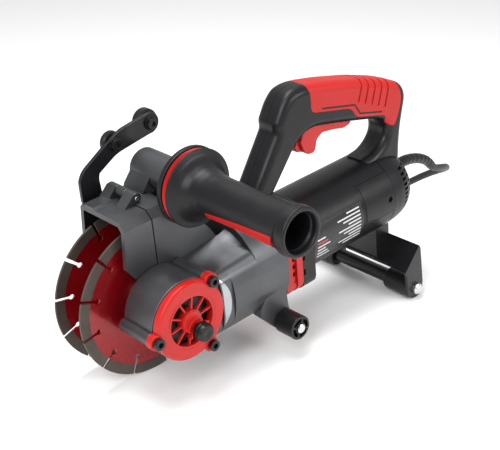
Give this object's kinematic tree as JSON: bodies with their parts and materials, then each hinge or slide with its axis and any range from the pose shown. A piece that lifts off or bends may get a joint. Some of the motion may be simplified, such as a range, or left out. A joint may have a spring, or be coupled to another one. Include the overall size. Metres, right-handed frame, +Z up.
{
  "type": "wall chaser",
  "caption": "Corded wall chaser with a pair of slotted diamond blades, hinged cast guard, side handle, D-handle and guide rollers.",
  "frame": {"origin": "centre of the footprint on the floor, under the tool without its cord", "axes": "+Z up, +X towards the rear cap and the cord, -Y towards the side handle"},
  "size_m": [0.5308, 0.4026, 0.2422],
  "materials": {
    "cast_magnesium": "fine cast metal, satin grey lacquer",
    "bright_steel": "turned and ground steel",
    "black_steel": "black powder coat",
    "black_plastic": "fine-grained moulded plastic",
    "red_plastic": "satin moulded plastic",
    "red_grip": "soft overmoulded grip",
    "blade_lacquer": "gloss dark red lacquer with grey sintered rim segments",
    "black_rubber": "dull rubber",
    "copper": "bare copper",
    "bearing_steel": "ground steel"
  },
  "bodies": {
    "tool": {"spindle_bearing": "bearing_steel", "gear_case": "cast_magnesium", "gear_cover": "red_plastic", "cover_screw_1": "black_steel", "cover_screw_2": "black_steel", "cover_screw_3": "black_steel", "main_guard": "cast_magnesium", "hinge_pin": "bright_steel", "arm_pivot_bolt": "bright_steel", "baffle_ring": "red_plastic", "motor_housing": "black_plastic", "brush_cover_near": "black_plastic", "brush_cover_far": "black_plastic", "front_bearing": "bearing_steel", "rear_bearing": "bearing_steel", "stator": "bearing_steel", "brush_near": "black_steel", "brush_far": "black_steel", "rear_cap": "black_plastic", "handle_near": "black_plastic", "handle_far": "black_plastic", "grip_sleeve": "red_grip", "switch": "black_plastic", "side_handle_plate": "black_plastic", "side_handle_ring": "red_plastic", "side_handle_grip": "black_plastic", "side_handle_stud": "bright_steel", "foot_bolt": "bright_steel", "rear_bracket": "black_steel", "rear_axle": "bright_steel", "rear_spacer": "black_steel", "strain_relief": "black_rubber", "cord_run": "black_rubber", "cord_coil": "black_rubber", "plug": "black_rubber"},
    "spindle_set": {"spindle": "bright_steel", "inner_flange": "bright_steel", "blade_near": "blade_lacquer", "blade_spacer": "bright_steel", "blade_far": "blade_lacquer", "outer_flange": "bright_steel", "clamp_nut": "bright_steel", "bevel_gear": "bright_steel"},
    "layshaft_set": {"layshaft": "bright_steel"},
    "armature_set": {"armature_shaft": "bright_steel", "armature_core": "bearing_steel", "commutator": "copper", "fan": "black_plastic"},
    "guard_flap": {"front_guard": "cast_magnesium"},
    "folding_arm": {"roller_arm": "black_steel", "arm_bolt_1": "black_steel", "arm_bolt_2": "black_steel"},
    "arm_wheel_1": {"arm_roller_1": "black_rubber"},
    "arm_wheel_2": {"arm_roller_2": "black_rubber"},
    "lock": {"lock_button": "black_rubber"},
    "trigger_lever": {"trigger": "red_plastic"},
    "trigger_lock": {"lock_tab": "red_plastic"},
    "foot_wheel": {"foot_roller": "black_rubber"},
    "rear_wheel_near": {"rear_roller_near": "black_rubber"},
    "rear_wheel_far": {"rear_roller_far": "black_rubber"}
  },
  "joints": [
    {"name": "spindle_spin", "type": "hinge", "parent": "tool", "child": "spindle_set", "pos_m": [-0.1267, 0.0613, 0.075], "axis": [0, 1, 0], "continuous": true},
    {"name": "layshaft_spin", "type": "hinge", "parent": "tool", "child": "layshaft_set", "pos_m": [-0.06701, 0.0076, 0.08113], "axis": [0.9948, 0, 0.1022], "continuous": true},
    {"name": "armature_spin", "type": "hinge", "parent": "tool", "child": "armature_set", "pos_m": [0.07225, 0.0306, 0.09545], "axis": [0.9948, 0, 0.1022], "continuous": true},
    {"name": "front_guard_hinge", "type": "hinge", "parent": "tool", "child": "guard_flap", "pos_m": [-0.12839, 0.0696, 0.16972], "axis": [0, 1, 0], "range_deg": [0, 70]},
    {"name": "arm_fold", "type": "hinge", "parent": "tool", "child": "folding_arm", "pos_m": [-0.11671, 0.1006, 0.13433], "axis": [0, -1, 0], "range_deg": [0, 150]},
    {"name": "arm_wheel_1_spin", "type": "hinge", "parent": "folding_arm", "child": "arm_wheel_1", "pos_m": [-0.1138, 0.1061, 0.20379], "axis": [0, 1, 0], "continuous": true},
    {"name": "arm_wheel_2_spin", "type": "hinge", "parent": "folding_arm", "child": "arm_wheel_2", "pos_m": [-0.07332, 0.1076, 0.21388], "axis": [0, 1, 0], "continuous": true},
    {"name": "spindle_lock_press", "type": "slide", "parent": "tool", "child": "lock", "axis": [0, 1, 0], "range_m": [0, 0.003], "stiffness_N_per_m": 300},
    {"name": "trigger_pull", "type": "hinge", "parent": "tool", "child": "trigger_lever", "pos_m": [0.11381, 0.0306, 0.19974], "axis": [0, 1, 0], "range_deg": [0, 6], "stiffness_Nm_per_rad": 0.5, "springref_deg": -5.73},
    {"name": "lock_tab_tilt", "type": "hinge", "parent": "trigger_lever", "child": "trigger_lock", "pos_m": [0.05096, 0.0306, 0.18524], "axis": [0, 1, 0], "range_deg": [0, 15], "stiffness_Nm_per_rad": 0.05, "springref_deg": -5.73},
    {"name": "foot_roller_spin", "type": "hinge", "parent": "tool", "child": "foot_wheel", "pos_m": [-0.01046, -0.0254, 0.02975], "axis": [0, 1, 0], "continuous": true},
    {"name": "rear_roller_near_spin", "type": "hinge", "parent": "tool", "child": "rear_wheel_near", "pos_m": [0.15825, -0.0184, 0.0118], "axis": [0, 1, 0], "continuous": true},
    {"name": "rear_roller_far_spin", "type": "hinge", "parent": "tool", "child": "rear_wheel_far", "pos_m": [0.15825, 0.0851, 0.0118], "axis": [0, 1, 0], "continuous": true}
  ],
  "couplings": [
    {"joint": "layshaft_spin", "follows": "spindle_spin", "ratio": 3.1111},
    {"joint": "armature_spin", "follows": "spindle_spin", "ratio": -8.8148}
  ]
}
